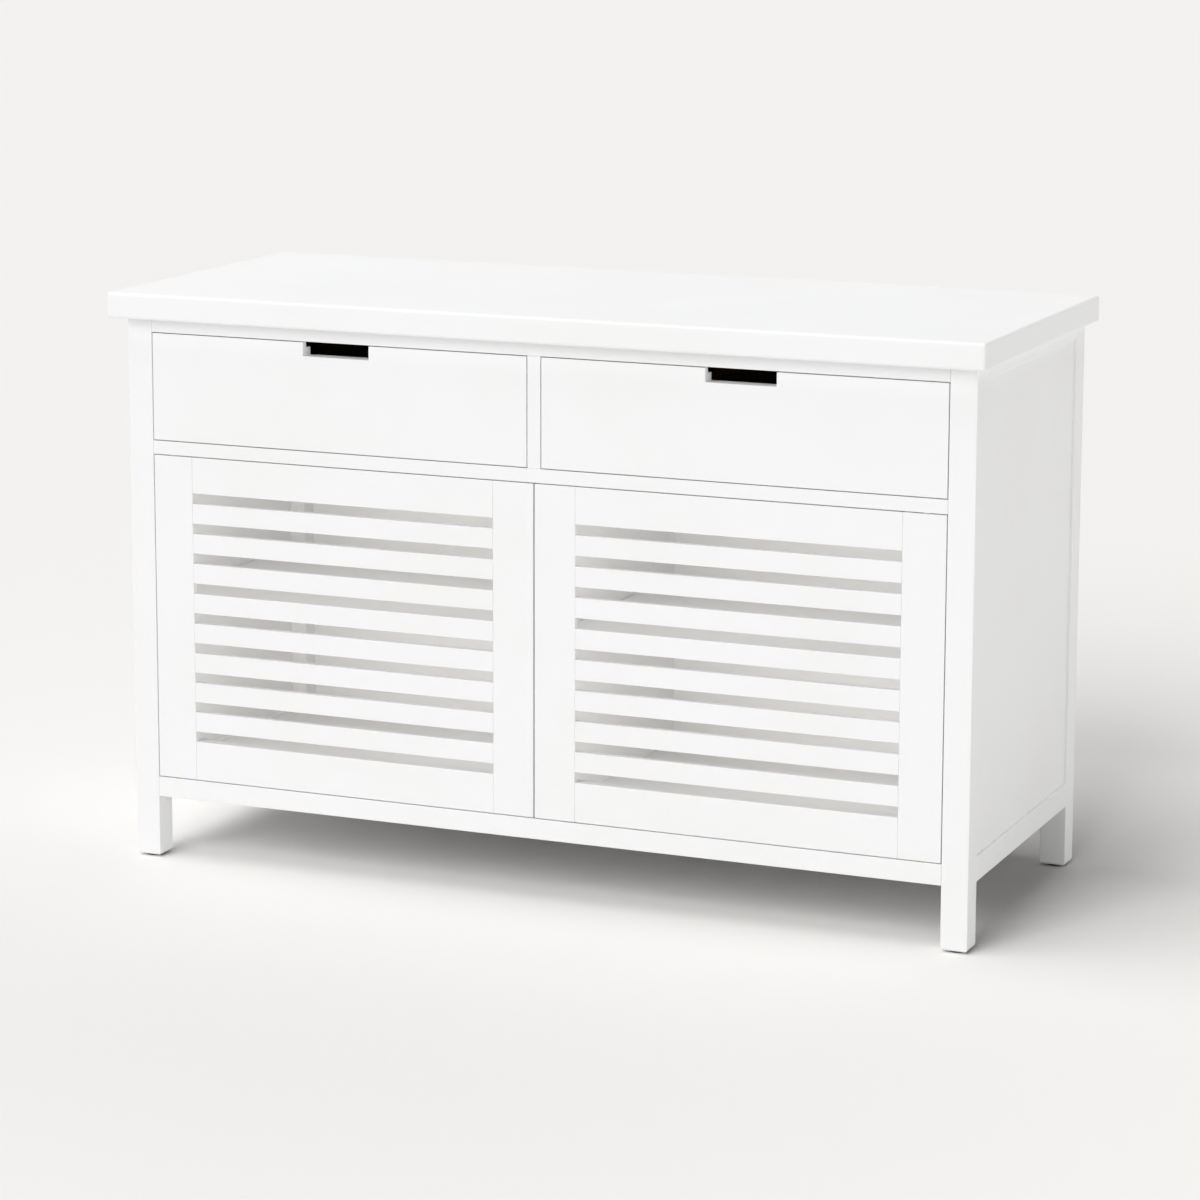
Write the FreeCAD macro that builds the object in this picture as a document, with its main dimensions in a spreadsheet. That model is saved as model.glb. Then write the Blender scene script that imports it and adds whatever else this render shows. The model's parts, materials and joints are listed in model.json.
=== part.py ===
"""Louvred door cabinet: a painted sideboard with two drawers over two slatted doors.

A frame of four posts and eight tenoned rails holds grooved side panels, a rebated back, a floor,
a drawer deck and a centre partition. The drawers run on steel channels in three members, and the
doors turn on steel pins in brass bushes. Millimetres, +Z up, the front towards -Y, and the origin
on the floor under the middle of the worktop. Left and right are as seen from the front.
"""
import FreeCAD, Part
import Sketcher
import os
import re

SIZES = {
    # Worktop and outline
    "overall_height": 765,
    "top_width": 1200,
    "top_depth": 500,
    "top_thickness": 34,
    "top_edge_radius": 4,
    "overhang_front": 26,
    "overhang_side": 17,
    "overhang_rear": 8,
    # Posts and feet
    "post_width": 35,
    "post_edge_radius": 1.2,
    "foot_bevel": 2.5,
    "glide_thickness": 3,
    "glide_radius": 12,
    "glide_edge": 1,
    "glide_stem_radius": 3,
    "glide_stem_length": 14,
    # Rails and their tenons
    "leg_height": 85,
    "rail_thickness": 22,
    "side_rail_thickness": 20,
    "top_rail_height": 19,
    "bottom_rail_height": 27,
    "side_bottom_rail_height": 31,
    "tenon_length": 10,
    "tenon_thickness": 10,
    "tenon_setback": 4,
    "tenon_shoulder": 3,
    # Boards and panels
    "board_thickness": 18,
    "board_edge_radius": 0.8,
    "side_panel_thickness": 9,
    "side_panel_recess": 4,
    "panel_groove": 6,
    "deck_housing": 3,
    "back_thickness": 5,
    "back_recess": 1,
    "back_rebate": 10,
    "floor_thickness": 15,
    "floor_seat": 5,
    # Shelves
    "shelf_rise": 218,
    "shelf_setback": 60,
    "shelf_gap": 1,
    "pin_radius": 2.5,
    "pin_hold": 6,
    "pin_reach": 9,
    "pin_inset": 50,
    # Fits
    "joint_clearance": 0.1,
    "running_clearance": 0.05,
    "front_gap": 1.2,
    "meeting_gap": 2,
    # Doors
    "door_thickness": 18,
    "stile_width": 56,
    "door_top_rail_height": 48,
    "door_bottom_rail_height": 52,
    "slot_height": 14,
    "slat_usual_height": 26,
    "slat_thickness": 9,
    "slat_edge_radius": 0.6,
    "stile_rebate": 12,
    "slat_tenon_length": 8,
    "slat_tenon_thickness": 5,
    "slat_tenon_shoulder": 4,
    "door_tenon_length": 14,
    "door_tenon_thickness": 6,
    "door_tenon_shoulder": 8,
    "door_stop_gap": 1.5,
    # Door pivots and catches
    "pivot_edge_inset": 26,
    "pivot_face_inset": 7,
    "pivot_radius": 3,
    "pivot_reach": 10,
    "pivot_socket": 22,
    "collar_radius": 5.5,
    "bush_radius": 5,
    "bush_length": 12,
    "bush_flange_radius": 6.5,
    "catch_width": 40,
    "catch_depth": 15,
    "catch_height": 14,
    "catch_inset": 14,
    "catch_edge_radius": 1,
    "strike_margin": 2,
    "strike_thickness": 1.2,
    # Drawers
    "drawer_opening_height": 144,
    "face_thickness": 10,
    "notch_width": 94,
    "notch_depth": 18,
    "box_thickness": 12,
    "box_floor_gap": 17,
    "box_top_gap": 9,
    "box_rear_gap": 20,
    "box_bottom_thickness": 6,
    "box_bottom_rise": 10,
    "box_groove": 5,
    # Drawer runners
    "runner_space": 13,
    "runner_height": 40,
    "runner_sheet": 1.2,
    "runner_slack": 0.4,
    "runner_lip": 2.5,
    "runner_setback": 24,
    "runner_post_lap": 13,
    # Screws
    "screw_radius": 2,
    "screw_head_radius": 4,
    "screw_head_height": 2.4,
    "screw_length": 20,
    "screw_row_inset": 98,
    "counterbore_radius": 5,
    "counterbore_depth": 8,
    "face_screw_radius": 1.75,
    "face_screw_head_radius": 3.5,
    "face_screw_head_height": 2,
    "face_screw_length": 19,
    "face_screw_inset": 60,
}

COUNTS = {
    "screw_count": 4,
    "pair_count": 2,
}

SHARES = {
    # The door's bottom gap is shared by the pin's collar and the bush's flange
    "collar_gap_share": 0.5,
    "flange_gap_share": 0.4,
    # The floor panel stops this share of the way from the side rail's face to the side panel
    "floor_groove_share": 0.7,
    "screw_tip_share": 0.15,
}

# Places worked out from the sizes: x from the middle, y from the middle of the worktop, z from the floor
PLACES = {
    "half_top": "top_width / 2",
    "half_body": "half_top - overhang_side",
    "post_inner": "half_body - post_width",
    "front": "overhang_front - top_depth / 2",
    "rear": "top_depth / 2 - overhang_rear",
    "front_post_back": "front + post_width",
    "rear_post_front": "rear - post_width",
    "front_rail_back": "front + rail_thickness",
    "back_face": "rear - back_recess",
    "rear_rail_back": "back_face - back_thickness",
    "rear_rail_front": "rear_rail_back - rail_thickness",
    "rail_end": "post_inner - joint_clearance",
    "tenon_end": "post_inner + tenon_length",
    "front_tenon_near": "front + tenon_setback",
    "front_tenon_far": "front_tenon_near + tenon_thickness",
    "rear_tenon_far": "rear_rail_back - tenon_setback",
    "rear_tenon_near": "rear_tenon_far - tenon_thickness",
    "side_rail_inner": "half_body - side_rail_thickness",
    "side_tenon_inner": "half_body - (side_rail_thickness + tenon_thickness) / 2",
    "side_tenon_outer": "side_tenon_inner + tenon_thickness",
    "panel_outer": "half_body - side_panel_recess",
    "panel_inner": "panel_outer - side_panel_thickness",
    "top_under": "overall_height - top_thickness",
    "top_rail_low": "top_under - top_rail_height",
    "rail_top": "leg_height + bottom_rail_height",
    "side_rail_top": "leg_height + side_bottom_rail_height",
    "floor_low": "rail_top - floor_thickness",
    "floor_edge": "side_rail_inner + (panel_inner - side_rail_inner) * floor_groove_share",
    "deck_top": "top_rail_low - drawer_opening_height",
    "deck_low": "deck_top - board_thickness",
    "half_board": "board_thickness / 2",
    "shelf_low": "rail_top + shelf_rise",
    "shelf_front": "front + shelf_setback",
    "shelf_back": "rear_post_front - shelf_gap",
    "pin_height": "shelf_low - pin_radius - joint_clearance",
    "door_low": "rail_top + front_gap",
    "door_top": "deck_low - front_gap",
    "door_outer": "post_inner - front_gap",
    "door_inner": "meeting_gap / 2",
    "door_back": "front + door_thickness",
    "slot_outer": "door_outer - stile_width",
    "slot_inner": "door_inner + stile_width",
    "slot_floor": "door_low + door_bottom_rail_height",
    "slot_roof": "door_top - door_top_rail_height",
    "slat_count": "round((slot_roof - slot_floor - slot_height) / (slat_usual_height + slot_height))",
    "slat_height": "(slot_roof - slot_floor - (slat_count + 1) * slot_height) / slat_count",
    "slat_pitch": "slat_height + slot_height",
    "slat_low": "slot_floor + slot_height",
    "slat_back": "front + slat_thickness",
    "slat_tenon_near": "front + (slat_thickness - slat_tenon_thickness) / 2",
    "slat_tenon_far": "slat_tenon_near + slat_tenon_thickness",
    "slat_tenon_low": "slat_low + slat_tenon_shoulder",
    "slat_tenon_high": "slat_low + slat_height - slat_tenon_shoulder",
    "door_tenon_near": "front + (door_thickness - door_tenon_thickness) / 2",
    "door_tenon_far": "door_tenon_near + door_tenon_thickness",
    "pivot_place": "door_outer - pivot_edge_inset",
    "pivot_depth": "front + pivot_face_inset",
    "collar_thickness": "front_gap * collar_gap_share",
    "flange_thickness": "front_gap * flange_gap_share",
    "stop_plane": "door_back + door_stop_gap",
    "drawer_inner": "half_board + front_gap",
    "drawer_outer": "post_inner - front_gap",
    "drawer_middle": "(drawer_inner + drawer_outer) / 2",
    "face_low": "deck_top + front_gap",
    "face_top": "top_rail_low - front_gap",
    "face_back": "front + face_thickness",
    "notch_low": "face_top - notch_depth",
    "notch_inner": "drawer_middle - notch_width / 2",
    "notch_outer": "drawer_middle + notch_width / 2",
    "box_low": "deck_top + box_floor_gap",
    "box_top": "top_rail_low - box_top_gap",
    "box_inner": "half_board + runner_space",
    "box_outer": "post_inner - runner_space",
    "box_front_back": "face_back + box_thickness",
    "box_back": "rear_rail_back - box_rear_gap",
    "box_bottom_low": "box_low + box_bottom_rise",
    "box_bottom_top": "box_bottom_low + box_bottom_thickness",
    "runner_front": "front + runner_setback",
    "runner_length": "rear_post_front + runner_post_lap - runner_front",
    "runner_middle": "(box_low + box_top) / 2",
    "runner_step": "runner_sheet + runner_slack",
    "screw_row_end": "post_inner - screw_row_inset",
    "screw_pitch": "2 * screw_row_end / (screw_count - 1)",
    "back_screw_low": "(leg_height + floor_low) / 2",
}

SIDES = {"left": -1, "right": 1}
PLANES = {"XY": "XY_Plane", "XZ": "XZ_Plane"}

document = FreeCAD.newDocument("louvred_door_cabinet")
sheet = document.addObject("Spreadsheet::Sheet", "Sizes")
pieces = []


def fill_sheet():
    """Driving sizes, counts and shares as plain numbers, then the places as formulas."""
    rows = [(name, str(value)) for table in (SIZES, COUNTS, SHARES) for name, value in table.items()]
    rows += [(name, "=" + formula) for name, formula in PLACES.items()]
    for row, (name, content) in enumerate(rows, start=1):
        sheet.set(f"A{row}", name)
        sheet.set(f"B{row}", content)
        sheet.setAlias(f"B{row}", name)
    document.recompute()


def scoped(text):
    """An expression with each size's name led by its sheet."""
    return re.sub(r"[a-z_]+", lambda found: f"Sizes.{found.group()}", text)


def number(text):
    return float(sheet.evalExpression(scoped(text)))


def bind(feature, attribute, text):
    feature.setExpression(attribute, scoped(text))


def mirrored(side, inner, outer):
    """The low and high x of a span that lies between two distances from the middle."""
    return (inner, outer) if side > 0 else (f"-({outer})", f"-({inner})")


def centred(half):
    return (f"-({half})", half)


def loosened(span):
    """A span widened by the joint clearance at both ends, for the cut that takes a tenon."""
    low, high = span
    return (f"{low} - joint_clearance", f"{high} + joint_clearance")


def tightened(span):
    """A span narrowed by the joint clearance at both ends, for what goes into a cut."""
    low, high = span
    return (f"{low} + joint_clearance", f"{high} - joint_clearance")


def piece(label):
    """A body that becomes one node of the cabinet."""
    body = document.addObject("PartDesign::Body", label)
    pieces.append(body)
    return body


def member(name):
    """A body that becomes one solid of a group."""
    return document.addObject("PartDesign::Body", name)


def group(label, members):
    compound = document.addObject("Part::Compound", label)
    compound.Links = members
    pieces.append(compound)


def block(body, xs, ys, zs, cut=False):
    """Adds or cuts a box between named places."""
    kind = "PartDesign::SubtractiveBox" if cut else "PartDesign::AdditiveBox"
    box = body.newObject(kind, "Block")
    for extent, axis, (low, high) in zip(("Length", "Width", "Height"), "xyz", (xs, ys, zs)):
        bind(box, extent, f"({high}) - ({low})")
        bind(box, f"Placement.Base.{axis}", low)
    return box


def cylinder(body, radius, length, place, turn=None, cut=False):
    """Adds or cuts a cylinder that starts at a place and runs along +Z, or along +Z turned."""
    kind = "PartDesign::SubtractiveCylinder" if cut else "PartDesign::AdditiveCylinder"
    rod = body.newObject(kind, "Round")
    bind(rod, "Radius", radius)
    bind(rod, "Height", length)
    put(rod, place, turn)
    return rod


def put(item, place, turn=None):
    """Ties a body or a feature to a place named by its x, y and z."""
    if turn:
        item.Placement = FreeCAD.Placement(FreeCAD.Vector(), turn)
    for axis, text in zip("xyz", place):
        bind(item, f"Placement.Base.{axis}", text)


def ease(body, radius):
    """Rounds every edge that the body has so far."""
    base = body.Tip
    document.recompute()
    fillet = body.newObject("PartDesign::Fillet", "Eased")
    fillet.Base = (base, [""])
    fillet.UseAllEdges = True
    bind(fillet, "Radius", radius)


def origin_feature(body, role):
    return next(item for item in body.Origin.OriginFeatures if item.Role == role)


def outline(body, plane, points):
    """A closed sketch of straight lines, each corner tied to two named places."""
    sketch = body.newObject("Sketcher::SketchObject", "Outline")
    sketch.AttachmentSupport = (origin_feature(body, PLANES[plane]), [""])
    sketch.MapMode = "FlatFace"
    corners = [FreeCAD.Vector(number(across), number(up), 0) for across, up in points]
    for index, corner in enumerate(corners):
        sketch.addGeometry(Part.LineSegment(corner, corners[(index + 1) % len(corners)]))
    for index, (corner, texts) in enumerate(zip(corners, points)):
        following = (index + 1) % len(corners)
        sketch.addConstraint(Sketcher.Constraint("Coincident", index, 2, following, 1))
        for kind, axis, text, value in zip(("DistanceX", "DistanceY"), (-2, -1), texts, corner):
            if text == "0":
                sketch.addConstraint(Sketcher.Constraint("PointOnObject", index, 1, axis))
                continue
            constraint = sketch.addConstraint(Sketcher.Constraint(kind, -1, 1, index, 1, value))
            bind(sketch, f"Constraints[{constraint}]", text)
    return sketch


def plate(body, plane, points, thickness, axis, place):
    """Pads an outline: up from an XY plane, or towards the front from an XZ plane."""
    sketch = outline(body, plane, points)
    pad = body.newObject("PartDesign::Pad", "Plate")
    pad.Profile = sketch
    bind(pad, "Length", thickness)
    bind(body, f"Placement.Base.{axis}", place)


def turned(body, profile):
    """Turns an outline of radius and height about Z."""
    sketch = outline(body, "XZ", profile)
    revolution = body.newObject("PartDesign::Revolution", "Turned")
    revolution.Profile = sketch
    revolution.ReferenceAxis = (sketch, ["V_Axis"])


def pattern(body, role, pitch, count, feature=None):
    """Repeats one feature, or the whole body so far, along an axis of the body."""
    document.recompute()
    row = body.newObject("PartDesign::LinearPattern", "Row")
    if feature:
        row.Originals = [feature]
    else:
        row.TransformMode = "Whole shape"
    row.Direction = (origin_feature(body, role), [""])
    row.Mode = "Spacing"
    bind(row, "Offset", pitch)
    bind(row, "Occurrences", count)
    body.Tip = row


def edges_where(shape, test):
    return [f"Edge{index}" for index, edge in enumerate(shape.Edges, start=1) if test(edge)]


def is_upright(edge):
    direction = edge.tangentAt(edge.FirstParameter)
    return abs(direction.z) > abs(direction.x) + abs(direction.y)


ALONG_X = FreeCAD.Rotation(FreeCAD.Vector(0, 1, 0), 90)
TOWARDS_FRONT = FreeCAD.Rotation(FreeCAD.Vector(1, 0, 0), 90)
UPSIDE_DOWN = FreeCAD.Rotation(FreeCAD.Vector(1, 0, 0), 180)

# The heights of the rails' tenons, which the posts' mortises share
TOP_TENON = ("top_rail_low + tenon_shoulder", "top_under - tenon_shoulder")
BOTTOM_TENON = ("leg_height + tenon_shoulder", "rail_top - tenon_shoulder")
SIDE_TOP_TENON = ("top_rail_low + panel_groove + tenon_shoulder", "top_under - tenon_shoulder")
SIDE_BOTTOM_TENON = ("leg_height + tenon_shoulder", "side_rail_top - panel_groove - tenon_shoulder")
FRONT_TENON = ("front_tenon_near", "front_tenon_far")
REAR_TENON = ("rear_tenon_near", "rear_tenon_far")
SIDE_TENON = ("side_tenon_inner", "side_tenon_outer")

# The side panels, and the height of the grooves that take them
SIDE_PANEL = ("panel_inner", "panel_outer")
GROOVE_HEIGHT = ("side_rail_top - panel_groove", "top_rail_low + panel_groove")

# The doors' tenons, which the stiles' mortises share
DOOR_TENON = ("door_tenon_near", "door_tenon_far")
DOOR_TENON_HEIGHTS = (("slot_roof + door_tenon_shoulder", "door_top - door_tenon_shoulder"),
                      ("door_low + door_tenon_shoulder", "slot_floor - door_tenon_shoulder"))
SLAT_TENON = ("slat_tenon_near", "slat_tenon_far")
SLAT_TENON_HEIGHT = ("slat_tenon_low", "slat_tenon_high")


def make_top():
    body = piece("top_panel")
    corners = [("-half_top", "-top_depth / 2"), ("half_top", "-top_depth / 2"),
               ("half_top", "top_depth / 2"), ("-half_top", "top_depth / 2")]
    plate(body, "XY", corners, "top_thickness", "z", "top_under")
    ease(body, "top_edge_radius")


def make_post(name, side, at_front):
    """A square post with mortises for two pairs of rails, a groove for the side panel, and a foot hole."""
    body = piece(name)
    ys = ("front", "front_post_back") if at_front else ("rear_post_front", "rear")
    blank = block(body, mirrored(side, "post_inner", "half_body"), ys, ("glide_thickness", "top_under"))
    document.recompute()
    middle = blank.Shape.BoundBox.Center.z
    bevel = body.newObject("PartDesign::Chamfer", "Foot")
    bevel.Base = (blank, edges_where(blank.Shape, lambda edge: edge.BoundBox.ZMax < middle))
    bind(bevel, "Size", "foot_bevel")
    document.recompute()
    fillet = body.newObject("PartDesign::Fillet", "Arris")
    fillet.Base = (bevel, edges_where(bevel.Shape, is_upright))
    bind(fillet, "Radius", "post_edge_radius")
    mortise_x = mirrored(side, "post_inner", "tenon_end + joint_clearance")
    mortise_y = loosened(FRONT_TENON if at_front else REAR_TENON)
    for height in (TOP_TENON, BOTTOM_TENON):
        block(body, mortise_x, mortise_y, loosened(height), cut=True)
    if at_front:
        mortise_y = ("front_post_back - tenon_length - joint_clearance", "front_post_back")
        groove_y = ("front_post_back - panel_groove", "front_post_back")
    else:
        mortise_y = ("rear_post_front", "rear_post_front + tenon_length + joint_clearance")
        groove_y = ("rear_post_front", "rear_post_front + panel_groove")
    mortise_x = mirrored(side, *loosened(SIDE_TENON))
    for height in (SIDE_TOP_TENON, SIDE_BOTTOM_TENON):
        block(body, mortise_x, mortise_y, loosened(height), cut=True)
    groove_x = mirrored(side, *loosened(SIDE_PANEL))
    block(body, groove_x, groove_y, GROOVE_HEIGHT, cut=True)
    if not at_front:
        rebate = mirrored(side, "post_inner", "post_inner + back_rebate")
        block(body, rebate, ("rear_rail_back", "rear"), ("leg_height", "top_under"), cut=True)
    middle = "front + post_width / 2" if at_front else "rear - post_width / 2"
    place = (f"{side} * (half_body - post_width / 2)", middle, "glide_thickness")
    cylinder(body, "glide_stem_radius + joint_clearance", "glide_stem_length + joint_clearance",
             place, cut=True)


def make_cross_rail(name, at_front, at_top):
    """A rail between two posts, with a tenon on each end."""
    body = piece(name)
    ys = ("front", "front_rail_back") if at_front else ("rear_rail_front", "rear_rail_back")
    zs = ("top_rail_low", "top_under") if at_top else ("leg_height", "rail_top")
    block(body, centred("rail_end"), ys, zs)
    ease(body, "board_edge_radius")
    tenon_y = FRONT_TENON if at_front else REAR_TENON
    block(body, centred("tenon_end"), tenon_y, TOP_TENON if at_top else BOTTOM_TENON)
    if at_top:
        middle = "front + rail_thickness / 2" if at_front else "rear_rail_back - rail_thickness / 2"
        place = ("-screw_row_end", middle, "top_rail_low")
        hole = cylinder(body, "counterbore_radius", "counterbore_depth", place, cut=True)
        pattern(body, "X_Axis", "screw_pitch", "screw_count", hole)
        return
    seat = ("front_rail_back - floor_seat", "front_rail_back")
    if not at_front:
        seat = ("rear_rail_front", "rear_rail_front + floor_seat")
    block(body, centred("rail_end"), seat, ("floor_low", "rail_top"), cut=True)
    if at_front:
        for side in SIDES.values():
            place = (f"{side} * pivot_place", "pivot_depth", "rail_top - bush_length")
            cylinder(body, "bush_radius + joint_clearance", "bush_length", place, cut=True)


def make_side_rail(name, side, at_top):
    """A rail between a front and a rear post, grooved for the side panel."""
    body = piece(name)
    xs = mirrored(side, "side_rail_inner", "half_body")
    ys = tightened(("front_post_back", "rear_post_front"))
    zs = ("top_rail_low", "top_under") if at_top else ("leg_height", "side_rail_top")
    block(body, xs, ys, zs)
    ease(body, "board_edge_radius")
    tenon_y = ("front_post_back - tenon_length", "rear_post_front + tenon_length")
    block(body, mirrored(side, *SIDE_TENON), tenon_y, SIDE_TOP_TENON if at_top else SIDE_BOTTOM_TENON)
    groove_x = mirrored(side, *loosened(SIDE_PANEL))
    groove_z = ("top_rail_low", GROOVE_HEIGHT[1]) if at_top else (GROOVE_HEIGHT[0], "side_rail_top")
    block(body, groove_x, ys, groove_z, cut=True)
    if not at_top:
        block(body, mirrored(side, "side_rail_inner", "floor_edge"), ys,
              ("floor_low", "rail_top + joint_clearance"), cut=True)


def make_side_panel(name, side):
    body = piece(name)
    ys = tightened(("front_post_back - panel_groove", "rear_post_front + panel_groove"))
    block(body, mirrored(side, *SIDE_PANEL), ys, tightened(GROOVE_HEIGHT))
    block(body, mirrored(side, "panel_inner", "panel_inner + deck_housing"), ys,
          ("deck_low", "deck_top + joint_clearance"), cut=True)
    drill_pin_holes(body, side, "panel_inner", outward=True)


def drill_pin_holes(body, side, face, outward):
    """Two holes for shelf pins in an upright face."""
    away = side if outward else -side
    start = f"{side} * {face}" if away > 0 else f"{side} * {face} - pin_hold - joint_clearance"
    hole = cylinder(body, "pin_radius + joint_clearance", "pin_hold + joint_clearance",
                    (start, "shelf_front + pin_inset", "pin_height"), ALONG_X, cut=True)
    pattern(body, "Y_Axis", "shelf_back - shelf_front - 2 * pin_inset", "pair_count", hole)


def make_back():
    body = piece("back_panel")
    block(body, centred("post_inner + back_rebate - joint_clearance"), ("rear_rail_back", "back_face"),
          ("leg_height + joint_clearance", "top_under - joint_clearance"))
    ease(body, "board_edge_radius")


def notched_board(name, half_width, depth, thickness, low):
    """A full-depth board whose four corners are notched round the posts."""
    body = piece(name)
    front_edge, back_edge = depth
    near, far = tightened(("front_post_back", "rear_post_front"))
    right = [("rail_end", front_edge), ("rail_end", near), (half_width, near),
             (half_width, far), ("rail_end", far), ("rail_end", back_edge)]
    left = [(f"-({across})", along) for across, along in reversed(right)]
    plate(body, "XY", right + left, thickness, "z", low)
    return body


def make_boards():
    body = notched_board("drawer_deck", "panel_inner + deck_housing - joint_clearance",
                         ("front", "rear_rail_back - joint_clearance"), "board_thickness", "deck_low")
    ease(body, "board_edge_radius")
    for side in SIDES.values():
        place = (f"{side} * pivot_place", "pivot_depth", "0")
        cylinder(body, "bush_radius + joint_clearance", "bush_length", place, cut=True)
    depth = tightened(("front_rail_back - floor_seat", "rear_rail_front + floor_seat"))
    notched_board("floor_panel", "floor_edge - joint_clearance", depth, "floor_thickness", "floor_low")
    body = piece("drawer_divider")
    block(body, centred("half_board"), ("front", "rear_rail_back - joint_clearance"),
          ("deck_top", "top_rail_low - joint_clearance"))
    ease(body, "board_edge_radius")
    body = piece("centre_partition")
    block(body, centred("half_board"), ("stop_plane", "rear_rail_back - joint_clearance"),
          ("rail_top", "deck_low - joint_clearance"))
    ease(body, "board_edge_radius")
    for side in SIDES.values():
        drill_pin_holes(body, side, "half_board", outward=False)


def make_shelves():
    for word, side in SIDES.items():
        body = piece(f"{word}_shelf")
        block(body, mirrored(side, "half_board + shelf_gap", "panel_inner - shelf_gap"),
              ("shelf_front", "shelf_back"), ("shelf_low", "shelf_low + board_thickness"))
        ease(body, "board_edge_radius")
    pins = []
    for word, side in SIDES.items():
        for face, toward in (("panel_inner", -side), ("half_board", side)):
            start = f"{side} * {face} - {'pin_hold' if toward > 0 else 'pin_reach'}"
            pin = member(f"{word}_{face}_pin")
            place = (start, "shelf_front + pin_inset", "pin_height")
            cylinder(pin, "pin_radius", "pin_hold + pin_reach", place, ALONG_X)
            pattern(pin, "Y_Axis", "shelf_back - shelf_front - 2 * pin_inset", "pair_count")
            pins.append(pin)
    group("shelf_pins", pins)


def make_glides():
    """A round foot under each post, with a stem up into it."""
    body = piece("foot_glides")
    profile = [("0", "0"), ("glide_radius - glide_edge", "0"), ("glide_radius", "glide_edge"),
               ("glide_radius", "glide_thickness"), ("glide_stem_radius", "glide_thickness"),
               ("glide_stem_radius", "glide_thickness + glide_stem_length"),
               ("0", "glide_thickness + glide_stem_length")]
    turned(body, profile)
    pattern(body, "X_Axis", "2 * half_body - post_width", "pair_count")
    pattern(body, "Y_Axis", "rear - front - post_width", "pair_count")
    put(body, ("post_width / 2 - half_body", "front + post_width / 2", "0"))


def screw_profile(radius, head_radius, head_height, length):
    """A screw's half section: head below its seat at zero, shank above, and a pointed tip."""
    return [("0", f"-{head_height}"), (head_radius, f"-{head_height}"), (head_radius, "0"), (radius, "0"),
            (radius, f"{length} * (1 - screw_tip_share)"), ("0", length)]


def make_carcass_screws():
    """Screws up through the top rails into the worktop, and through the back into the rear rails."""
    profile = screw_profile("screw_radius", "screw_head_radius", "screw_head_height", "screw_length")
    upward = member("top_screw")
    turned(upward, profile)
    pattern(upward, "X_Axis", "screw_pitch", "screw_count")
    pattern(upward, "Y_Axis", "rear_rail_back - front - rail_thickness", "pair_count")
    put(upward, ("-screw_row_end", "front + rail_thickness / 2", "top_rail_low + counterbore_depth"))
    forward = member("back_screw")
    turned(forward, profile)
    pattern(forward, "X_Axis", "screw_pitch", "screw_count")
    pattern(forward, "Y_Axis", "top_under - top_rail_height / 2 - back_screw_low", "pair_count")
    put(forward, ("-screw_row_end", "back_face", "back_screw_low"), TOWARDS_FRONT)
    group("carcass_screws", [upward, forward])


def make_bushes():
    """Flanged bushes for the doors' pins: two in the front bottom rail, two in the drawer deck."""
    bore_radius = "pivot_radius + running_clearance"
    profile = [(bore_radius, "-bush_length"), ("bush_radius", "-bush_length"), ("bush_radius", "0"),
               ("bush_flange_radius", "0"), ("bush_flange_radius", "flange_thickness"),
               (bore_radius, "flange_thickness")]
    bushes = []
    for name, height, turn in (("lower_bush", "rail_top", None), ("upper_bush", "deck_low", UPSIDE_DOWN)):
        body = member(name)
        turned(body, profile)
        pattern(body, "X_Axis", "2 * pivot_place", "pair_count")
        put(body, ("-pivot_place", "pivot_depth", height), turn)
        bushes.append(body)
    group("pivot_bushes", bushes)


def make_catches():
    """A magnetic catch under the drawer deck behind each door's free edge."""
    body = piece("door_catches")
    block(body, ("-catch_inset - catch_width", "-catch_inset"),
          ("door_back + strike_thickness + joint_clearance", "stop_plane + catch_depth"),
          ("deck_low - catch_height", "deck_low"))
    ease(body, "catch_edge_radius")
    pattern(body, "X_Axis", "2 * catch_inset + catch_width", "pair_count")


def make_stile(name, side, outer):
    """A door's upright, mortised for the rails and slats and rebated behind the slats' ends."""
    body = piece(name)
    inner_face, outer_face = ("slot_outer", "door_outer") if outer else ("door_inner", "slot_inner")
    block(body, mirrored(side, inner_face, outer_face), ("front", "door_back"), ("door_low", "door_top"))
    ease(body, "board_edge_radius")

    def inward(depth):
        """The span from the face towards the slots into the stile."""
        if outer:
            return mirrored(side, "slot_outer", f"slot_outer + {depth}")
        return mirrored(side, f"slot_inner - ({depth})", "slot_inner")

    block(body, inward("stile_rebate"), ("slat_back", "door_back"), ("slot_floor", "slot_roof"), cut=True)
    for height in DOOR_TENON_HEIGHTS:
        block(body, inward("door_tenon_length + joint_clearance"), loosened(DOOR_TENON),
              loosened(height), cut=True)
    mortise = block(body, inward("slat_tenon_length + joint_clearance"), loosened(SLAT_TENON),
                    loosened(SLAT_TENON_HEIGHT), cut=True)
    pattern(body, "Z_Axis", "slat_pitch", "slat_count", mortise)
    if outer:
        for start in ("door_low", "door_top - pivot_socket - joint_clearance"):
            place = (f"{side} * pivot_place", "pivot_depth", start)
            cylinder(body, "pivot_radius + joint_clearance", "pivot_socket + joint_clearance",
                     place, cut=True)


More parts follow.
